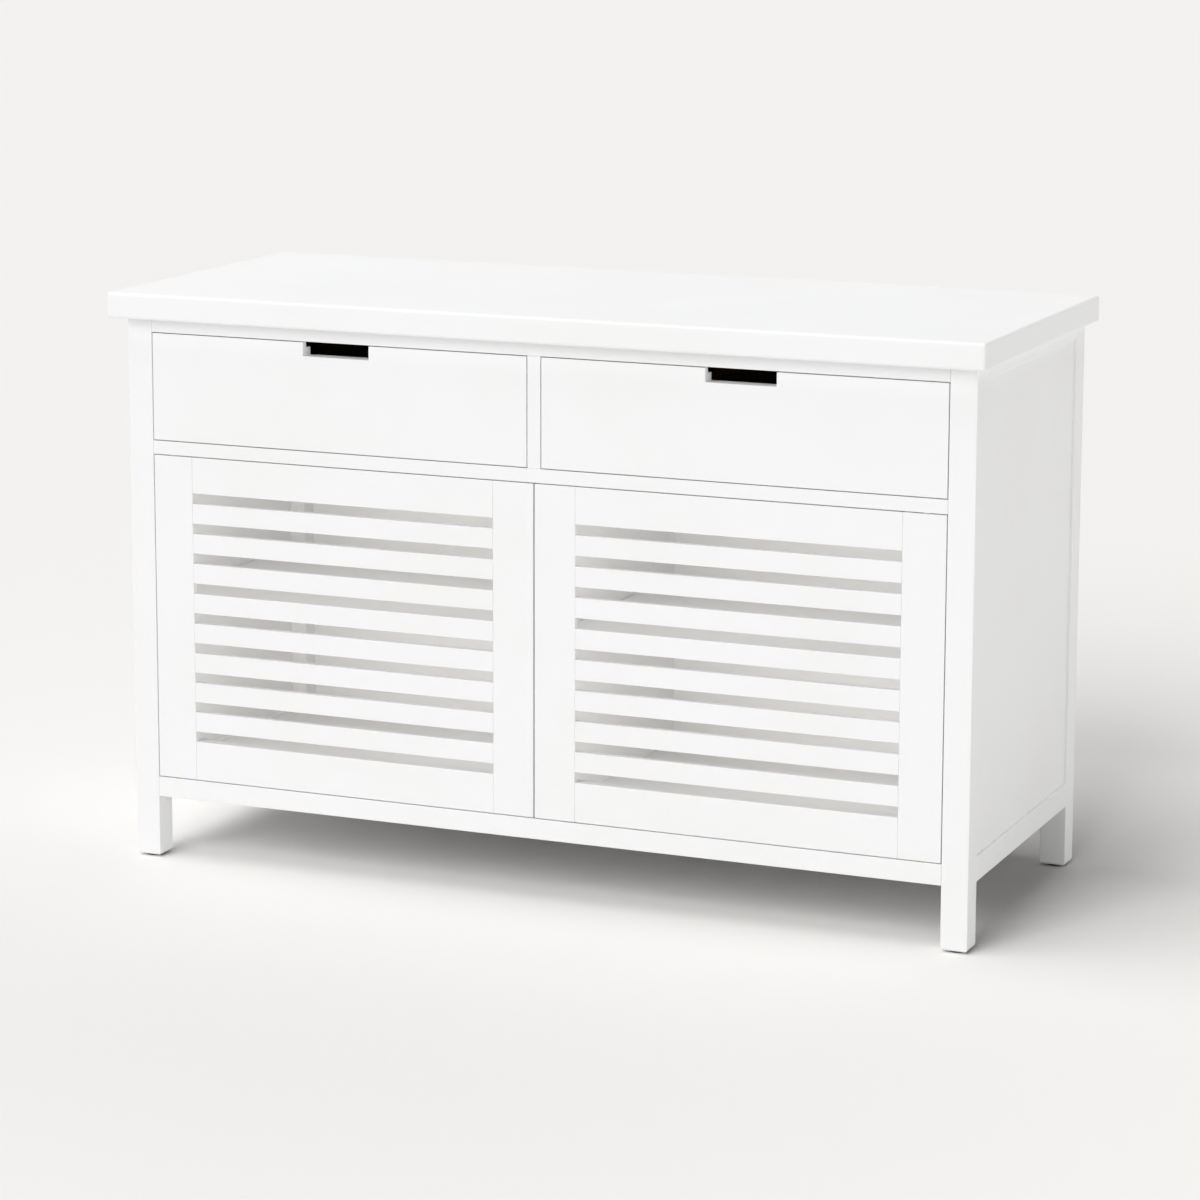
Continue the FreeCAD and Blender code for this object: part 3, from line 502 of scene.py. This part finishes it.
def pick_only(piece):
    bpy.ops.object.select_all(action="DESELECT")
    piece.select_set(True)
    bpy.context.view_layer.objects.active = piece


def settle(piece):
    """Moves a piece's place from the object to its mesh."""
    pick_only(piece)
    bpy.ops.object.transform_apply(location=True, rotation=True, scale=True)


def new_piece(name, add, **settings):
    bpy.ops.object.select_all(action="DESELECT")
    add(**settings)
    piece = bpy.context.object
    piece.name = name
    settle(piece)
    return piece


def new_block(name, low, high):
    low, high = Vector(low), Vector(high)
    return new_piece(name, bpy.ops.mesh.primitive_cube_add, size=1, location=(low + high) / 2,
                     scale=high - low)


@contextlib.contextmanager
def shaping(piece, picks):
    """Edit mode on one piece, in which faces or edges are picked."""
    pick_only(piece)
    bpy.ops.object.mode_set(mode="EDIT")
    bpy.ops.mesh.select_mode(type=picks)
    bpy.ops.mesh.select_all(action="SELECT")
    yield
    bpy.ops.object.mode_set(mode="OBJECT")


def pick_faces(piece, test):
    """Picks the faces whose middle and normal pass a test."""
    bpy.ops.mesh.select_all(action="DESELECT")
    mesh = bmesh.from_edit_mesh(piece.data)
    for face in mesh.faces:
        if test(face.calc_center_median(), face.normal):
            face.select_set(True)
    bmesh.update_edit_mesh(piece.data)


def pick_edges(piece, test):
    """Picks the edges whose two ends pass a test."""
    bpy.ops.mesh.select_all(action="DESELECT")
    mesh = bmesh.from_edit_mesh(piece.data)
    for edge in mesh.edges:
        if test(edge.verts[0].co, edge.verts[1].co):
            edge.select_set(True)
    bmesh.update_edit_mesh(piece.data)


def faces_up(middle, normal):
    return normal.z > FACING


def apply_modifier(piece, kind, **settings):
    modifier = piece.modifiers.new(kind.lower(), kind)
    for name, value in settings.items():
        setattr(modifier, name, value)
    pick_only(piece)
    bpy.ops.object.modifier_apply(modifier=modifier.name)


def cut(piece, cutter):
    apply_modifier(piece, "BOOLEAN", operation="DIFFERENCE", solver="EXACT", object=cutter)
    bpy.data.objects.remove(cutter)


def join(name, pieces):
    pick_only(pieces[0])
    for piece in pieces:
        piece.select_set(True)
    bpy.ops.object.join()
    pieces[0].name = name
    return pieces[0]


def copies(pattern, spots):
    """A copy of a piece at each spot, with its own mesh. The pattern goes."""
    made = []
    for place, turn in spots:
        pick_only(pattern)
        bpy.ops.object.duplicate()
        copy = bpy.context.object
        copy.location = place
        copy.rotation_euler = turn
        settle(copy)
        made.append(copy)
    bpy.data.objects.remove(pattern)
    return made


def fit(piece, body, slot, material, *nodes):
    """Gives a finished piece its finish, and sets it in place of CAD nodes."""
    pick_only(piece)
    bpy.ops.object.shade_smooth_by_angle(angle=SMOOTH_ANGLE)
    piece.data.materials.clear()
    piece.data.materials.append(material)
    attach(piece, body)
    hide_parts(*nodes)


# Shares of a cross recess's span, and of its outline at the bottom
BLADE_SHARE = 0.22
BLADE_END_SHARE = 0.5
# Shares of a thread's radius and of its height over the core
PITCH_SHARE = 0.7
RIDGE_SHARE = 0.8
# Shares of a screw's shank, head, head's height and reach
CORE_SHARE = 0.76
CROSS_SHARE = 1.1
CROSS_DEPTH_SHARE = 0.6
HEAD_ROUND_SHARE = 0.7
TIP_SHARE = 0.15
THREAD_START_SHARE = 0.1


def cut_cross(piece, span, depth, level):
    """Cuts a tapered cross into a screw head that faces down at the given level."""
    for turn in (0, math.pi / 2):
        blade = new_piece("blade", bpy.ops.mesh.primitive_cube_add, size=1, location=(0, 0, level),
                          rotation=(0, 0, turn), scale=(span, span * BLADE_SHARE, 2 * depth))
        with shaping(blade, "FACE"):
            pick_faces(blade, faces_up)
            bpy.ops.transform.resize(value=(BLADE_END_SHARE, BLADE_END_SHARE, 1))
        cut(piece, blade)


def model_thread(radius, core, start, end):
    """A helical ridge round a shank."""
    pitch = PITCH_SHARE * radius
    size = RIDGE_SHARE * (radius - core)
    ridge = new_piece("thread", bpy.ops.mesh.primitive_circle_add, vertices=RIDGE_SIDES, radius=size,
                      rotation=(math.pi / 2, math.pi / 2, 0), location=(radius - size, 0, start))
    turns = int((end - start) / pitch)
    apply_modifier(ridge, "SCREW", axis="Z", screw_offset=pitch, iterations=turns, steps=STEPS_A_TURN,
                   render_steps=STEPS_A_TURN)
    with shaping(ridge, "EDGE"):
        bpy.ops.mesh.fill_holes(sides=RIDGE_SIDES)
        bpy.ops.mesh.select_all(action="SELECT")
        bpy.ops.mesh.normals_make_consistent(inside=False)
    return ridge


def model_screw(name, head, height, shank, reach):
    """A pan-head screw that points up, with its seat at the origin."""
    core = CORE_SHARE * shank
    tip = TIP_SHARE * reach
    screw = new_piece(name, bpy.ops.mesh.primitive_cylinder_add, vertices=ROUND_SIDES, radius=head,
                      depth=height, location=(0, 0, -height / 2))
    with shaping(screw, "FACE"):
        pick_faces(screw, faces_up)
        bpy.ops.mesh.inset(thickness=head - core)
        for rise in (reach - tip, tip):
            bpy.ops.mesh.extrude_region_move(TRANSFORM_OT_translate={"value": (0, 0, rise)})
        bpy.ops.mesh.merge(type="CENTER")
    with shaping(screw, "EDGE"):
        pick_edges(screw, lambda first, second: max(first.z, second.z) < NEAR - height)
        bpy.ops.mesh.bevel(offset=HEAD_ROUND_SHARE * height, segments=6, affect="EDGES")
    cut_cross(screw, CROSS_SHARE * head, CROSS_DEPTH_SHARE * height, -height)
    return join(name, [screw, model_thread(shank, core, THREAD_START_SHARE * reach, reach - tip)])


def across_cabinet(settings):
    """Places of a row of screws, from left to right."""
    count = round(2 * settings.screw_end / settings.screw_pitch) + 1
    return [index * settings.screw_pitch - settings.screw_end for index in range(count)]


class CABINET_OT_drive_screws(bpy.types.Operator):
    """Model the screws of the top, the back and the drawer faces"""
    bl_idname = "cabinet.drive_screws"
    bl_label = "Drive screws"

    def execute(self, context):
        settings = context.scene.cabinet.hardware
        zinc = bpy.data.materials["zinc_plate"]
        low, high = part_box("carcass_screws")
        seat = high.z - settings.screw_reach
        back = high.y - settings.screw_head_height
        radius = settings.screw_head
        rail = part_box("front_top_rail")
        rear_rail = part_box("rear_top_rail")
        rows = ((rail[0].y + rail[1].y) / 2, (rear_rail[0].y + rear_rail[1].y) / 2)
        levels = (low.z + radius, (rear_rail[0].z + rear_rail[1].z) / 2)
        spots = [((x, y, seat), UNTURNED) for x in across_cabinet(settings) for y in rows]
        spots += [((x, back, z), TO_FRONT) for x in across_cabinet(settings) for z in levels]
        screw = model_screw("carcass_screw", radius, settings.screw_head_height, settings.screw_shank,
                            settings.screw_reach)
        fit(join("top_and_back_screws", copies(screw, spots)), "carcass", "steel", zinc, "carcass_screws")
        for side in SIDES:
            node = f"{side}_drawer_face_screws"
            low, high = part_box(node)
            radius = settings.face_screw_head
            seat = high.y - settings.face_screw_height
            spots = [((x, seat, (low.z + high.z) / 2), TO_FRONT) for x in (low.x + radius, high.x - radius)]
            screw = model_screw("face_screw", radius, settings.face_screw_height, settings.face_screw_shank,
                                seat - low.y)
            fit(join(f"{side}_face_screws", copies(screw, spots)), f"{side}_drawer", "steel", zinc, node)
        return {"FINISHED"}


def model_catch(low, high, settings):
    """A catch's housing, with a lug at each end that a screw holds up."""
    lug = settings.catch_lug
    lug_floor = high.z - settings.catch_lug_thickness
    inset = Vector((lug, settings.pole_lead, 0))
    housing = new_block("housing", low + inset, high - Vector((lug, 0, 0)))
    with shaping(housing, "FACE"):
        bpy.ops.mesh.bisect(plane_co=(0, 0, lug_floor), plane_no=(0, 0, 1))
        for way in (-1, 1):
            pick_faces(housing, lambda middle, normal: normal.x * way > FACING and middle.z > lug_floor)
            bpy.ops.mesh.extrude_region_move(TRANSFORM_OT_translate={"value": (way * lug, 0, 0)})
    with shaping(housing, "EDGE"):
        pick_edges(housing, lambda first, second: min(first.x, second.x) > high.x - NEAR
                   or max(first.x, second.x) < low.x + NEAR)
        bpy.ops.mesh.bevel(offset=settings.catch_lug_round, segments=3, affect="EDGES")
    apply_modifier(housing, "BEVEL", width=settings.catch_edge, segments=3, limit_method="ANGLE",
                   angle_limit=SHARP_ANGLE)
    return housing


# Heights of the poles as shares of the catch's
POLE_SHARES = (0.34, 0.62)
# Shares of a lug's length and of its screw's head
LUG_HEAD_SHARE = 0.36
LUG_HEAD_HEIGHT_SHARE = 0.5
LUG_SHANK_SHARE = 0.4


def model_poles(low, high, settings):
    """The two steel poles on the front of a catch, and the screws in its lugs."""
    lug = settings.catch_lug
    end = lug + settings.pole_inset
    pieces = []
    for share_up in POLE_SHARES:
        level = low.z + share_up * (high.z - low.z)
        pole = new_block("pole", (low.x + end, low.y, level),
                         (high.x - end, low.y + settings.pole_depth, level + settings.pole_thickness))
        with shaping(pole, "EDGE"):
            pick_edges(pole, lambda first, second: max(first.y, second.y) < low.y + NEAR)
            bpy.ops.mesh.bevel(offset=settings.pole_edge, segments=2, affect="EDGES")
        pieces.append(pole)
    head = LUG_HEAD_SHARE * lug
    screw = model_screw("lug_screw", head, LUG_HEAD_HEIGHT_SHARE * head, LUG_SHANK_SHARE * head,
                        settings.catch_lug_thickness)
    seat = high.z - settings.catch_lug_thickness
    middle = (low.y + high.y) / 2
    spots = [((x, middle, seat), UNTURNED) for x in (low.x + lug / 2, high.x - lug / 2)]
    return pieces + copies(screw, spots)


class CABINET_OT_set_catches(bpy.types.Operator):
    """Model the magnetic catches under the drawer deck"""
    bl_idname = "cabinet.set_catches"
    bl_label = "Set catches"

    def execute(self, context):
        settings = context.scene.cabinet.hardware
        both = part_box("door_catches")
        housings, steel = [], []
        for side in SIDES:
            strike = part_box(f"{side}_door_strike_plate")
            low = Vector((strike[0].x - settings.catch_margin, both[0].y, both[0].z))
            high = Vector((strike[1].x + settings.catch_margin, both[1].y, both[1].z))
            housings.append(model_catch(low, high, settings))
            steel += model_poles(low, high, settings)
        plastic, zinc = [bpy.data.materials[name] for name in ("catch_plastic", "zinc_plate")]
        fit(join("catch_housings", housings), "carcass", "catch_plastic", plastic, "door_catches")
        fit(join("catch_poles", steel), "carcass", "steel", zinc, "door_catches")
        return {"FINISHED"}


# Places of a strike plate's screws as shares of its length
STRIKE_SCREW_SHARES = (0.2, 0.8)
# Shares of the plate's thickness
STRIKE_EDGE_SHARE = 0.2
SINK_DEPTH_SHARE = 0.9
SUNK_DEPTH_SHARE = 0.8
SUNK_DROP_SHARE = 0.08
SUNK_CROSS_SHARE = 0.45
OVERRUN_SHARE = 0.001
# Shares of the screw's radius
SINK_SHARE = 1.1
SUNK_END_SHARE = 0.5


def model_strike(name, low, high, settings):
    """A strike plate with rounded corners, held by two sunk screws."""
    radius = settings.strike_screw
    depth = high.y - low.y
    plate = new_block(name, low, high)
    with shaping(plate, "EDGE"):
        pick_edges(plate, lambda first, second: abs(first.y - second.y) > depth - NEAR)
        bpy.ops.mesh.bevel(offset=settings.strike_corner, segments=6, affect="EDGES")
        pick_edges(plate, lambda first, second: min(first.y, second.y) > high.y - NEAR)
        bpy.ops.mesh.bevel(offset=STRIKE_EDGE_SHARE * depth, segments=3, affect="EDGES")
    pieces = [plate]
    level = (low.z + high.z) / 2
    inward = Vector((0, -depth, 0))
    sink_middle = SINK_DEPTH_SHARE / 2 - OVERRUN_SHARE
    sunk_depth = SUNK_DEPTH_SHARE * depth
    for share_along in STRIKE_SCREW_SHARES:
        place = Vector((low.x + share_along * (high.x - low.x), high.y, level))
        sink = new_piece("sink", bpy.ops.mesh.primitive_cone_add, vertices=ROUND_SIDES,
                         radius1=SINK_SHARE * radius, radius2=SUNK_END_SHARE * radius,
                         depth=SINK_DEPTH_SHARE * depth, rotation=TO_FRONT,
                         location=place + sink_middle * inward)
        cut(plate, sink)
        head = new_piece("sunk_head", bpy.ops.mesh.primitive_cone_add, vertices=ROUND_SIDES, radius1=radius,
                         radius2=SUNK_END_SHARE * radius, depth=sunk_depth, location=(0, 0, sunk_depth / 2))
        cut_cross(head, CROSS_SHARE * radius, SUNK_CROSS_SHARE * depth, 0)
        pieces += copies(head, [(place + SUNK_DROP_SHARE * inward, TO_FRONT)])
    return join(name, pieces)


class CABINET_OT_set_strikes(bpy.types.Operator):
    """Model the strike plates on the backs of the doors"""
    bl_idname = "cabinet.set_strikes"
    bl_label = "Set strike plates"

    def execute(self, context):
        settings = context.scene.cabinet.hardware
        for side in SIDES:
            node = f"{side}_door_strike_plate"
            strike = model_strike(f"{side}_strike", *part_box(node), settings)
            fit(strike, f"{side}_door", "steel", bpy.data.materials["zinc_plate"], node)
        return {"FINISHED"}


LAMP_PARTS = ("level", "direction", "spread", "tint")
# Lamps that leave out the floor, and lamps for the floor alone
LAMPS = {"EXCLUDE": ("key", "top", "side", "back"), "INCLUDE": ("floor_left", "floor_front")}


def floor_group(state, floor):
    """A group that tells a lamp to leave out the floor or to light nothing else."""
    group = bpy.data.collections.new(f"floor_{state.lower()}")
    group.objects.link(floor)
    group.collection_objects[0].light_linking.link_state = state
    return group


def add_sun(name, level, direction, spread, tint, receivers):
    """A soft lamp far away. A level of 1 lights a facing surface to its own colour."""
    azimuth, height = direction
    bpy.ops.object.light_add(type="SUN", rotation=(math.pi / 2 - height, 0, azimuth))
    lamp = bpy.context.object
    lamp.name = name
    lamp.data.energy = level * math.pi
    lamp.data.angle = spread
    lamp.data.color = tint
    lamp.light_linking.receiver_collection = receivers


def light_cupboard(side, level, spread, tint):
    """A soft lamp above a cupboard's shelf and one below, in line with its front edge, that shine back."""
    shelf_low, shelf_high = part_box(f"{side}_shelf")
    halves = {
        "lower": (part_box("floor_panel")[1].z, shelf_low.z),
        "upper": (shelf_high.z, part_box("drawer_deck")[0].z),
    }
    for half, (bottom, top) in halves.items():
        place = ((shelf_low.x + shelf_high.x) / 2, shelf_low.y, (bottom + top) / 2)
        bpy.ops.object.light_add(type="AREA", location=place, rotation=(math.pi / 2, 0, 0))
        lamp = bpy.context.object
        lamp.name = f"{side}_{half}_cupboard_light"
        lamp.data.shape = "RECTANGLE"
        lamp.data.size = shelf_high.x - shelf_low.x
        lamp.data.size_y = top - bottom
        lamp.data.energy = level * math.pi * lamp.data.size * lamp.data.size_y
        lamp.data.spread = spread
        lamp.data.color = tint
        lamp.visible_camera = False
        lamp.visible_glossy = False


BACKDROP_RAYS = ("Is Camera Ray", "Is Glossy Ray", "Is Transmission Ray")


def light_sky(settings):
    """Even light from all round. The camera, and what it sees in metal, show the backdrop instead."""
    world = bpy.data.worlds.new("studio")
    bpy.context.scene.world = world
    nodes = Nodes(world)
    seen, mirrored, through = [nodes.node("ShaderNodeLightPath", {}, {}, ray) for ray in BACKDROP_RAYS]
    light = nodes.node("ShaderNodeBackground", {}, {"Color": opaque(WHITE), "Strength": settings.sky_level})
    backdrop = nodes.node("ShaderNodeBackground", {}, {"Color": opaque(settings.backdrop), "Strength": 1})
    shown = nodes.node("ShaderNodeMixShader", {}, {0: seen + mirrored + through, 1: light, 2: backdrop})
    nodes.feed(nodes.tree.nodes["World Output"].inputs["Surface"], shown)


def lay_floor(settings):
    """A wide pale floor with painted shade: its colour is darker in front of and under the cabinet, which
    holds back the light that the cabinet's front throws on it and deepens the shadow beneath.
    """
    bpy.ops.mesh.primitive_plane_add(size=2 * settings.floor_reach)
    floor = bpy.context.object
    floor.name = "floor"
    finish = Finish("pale_floor", Specular_IOR_Level=0.0, Roughness=1.0)
    coordinates = finish.node("ShaderNodeTexCoord", {}, {}, "Object")
    # Painted shade on the floor, strongest near the cabinet's front and fading with distance from it
    away = finish.node("ShaderNodeVectorMath", {"operation": "DISTANCE"},
                       {0: coordinates, 1: settings.painted_shade_place}, "Value")
    tone = finish.mixed(finish.stepped(away, 0, settings.painted_shade_reach), opaque(settings.painted_shade_floor),
                        opaque(settings.floor))
    floor.data.materials.append(finish.set(colour=tone))
    return floor


SENSOR_WIDTH = 36
# How far the camera sees, as a share of the floor's reach
SIGHT_SHARE = 4


def set_camera(settings):
    bpy.ops.object.camera_add()
    camera = bpy.context.object
    camera.data.sensor_width = SENSOR_WIDTH
    camera.data.lens = settings.camera_lens
    camera.data.shift_y = settings.camera_shift
    camera.data.clip_end = SIGHT_SHARE * settings.floor_reach
    sight = Euler((math.pi / 2 - settings.camera_dip, 0, settings.camera_heading)).to_matrix().to_4x4()
    roll = Matrix.Rotation(settings.camera_roll, 4, "Z")
    camera.matrix_world = Matrix.Translation(settings.camera_place) @ sight @ roll
    bpy.context.scene.camera = camera


class CABINET_OT_set_stage(bpy.types.Operator):
    """Lay the floor, light it and set the camera"""
    bl_idname = "cabinet.set_stage"
    bl_label = "Set stage"

    def execute(self, context):
        settings = context.scene.cabinet.stage
        context.scene.view_settings.view_transform = "Standard"
        bpy.ops.object.select_all(action="DESELECT")
        floor = lay_floor(settings)
        light_sky(settings)
        for state, names in LAMPS.items():
            receivers = floor_group(state, floor)
            for name in names:
                values = [getattr(settings, f"{name}_{part}") for part in LAMP_PARTS]
                add_sun(f"{name}_light", *values, receivers)
        for side in SIDES:
            light_cupboard(side, settings.cupboard_level, settings.cupboard_spread,
                           settings.cupboard_tint)
        set_camera(settings)
        return {"FINISHED"}


STEPS = (CABINET_OT_set_stage, CABINET_OT_paint_boards, CABINET_OT_lacquer_drawers,
         CABINET_OT_finish_hardware, CABINET_OT_drive_screws, CABINET_OT_set_catches, CABINET_OT_set_strikes)


class CABINET_PT_steps(bpy.types.Panel):
    """Lists the steps that finish the cabinet"""
    bl_idname = "CABINET_PT_steps"
    bl_label = "Cabinet"
    bl_space_type = "VIEW_3D"
    bl_region_type = "UI"
    bl_category = "Cabinet"

    def draw(self, context):
        for step in STEPS:
            self.layout.operator(step.bl_idname)


CLASSES = (PaintSettings, LacquerSettings, HardwareSettings, StageSettings, CabinetSettings, *STEPS,
           CABINET_PT_steps)


def register():
    for item in CLASSES:
        bpy.utils.register_class(item)
    bpy.types.Scene.cabinet = PointerProperty(type=CabinetSettings)


def unregister():
    del bpy.types.Scene.cabinet
    for item in reversed(CLASSES):
        bpy.utils.unregister_class(item)


def main():
    register()
    for step in STEPS:
        group, name = step.bl_idname.split(".")
        getattr(getattr(bpy.ops, group), name)()


if __name__ == "__main__":
    main()
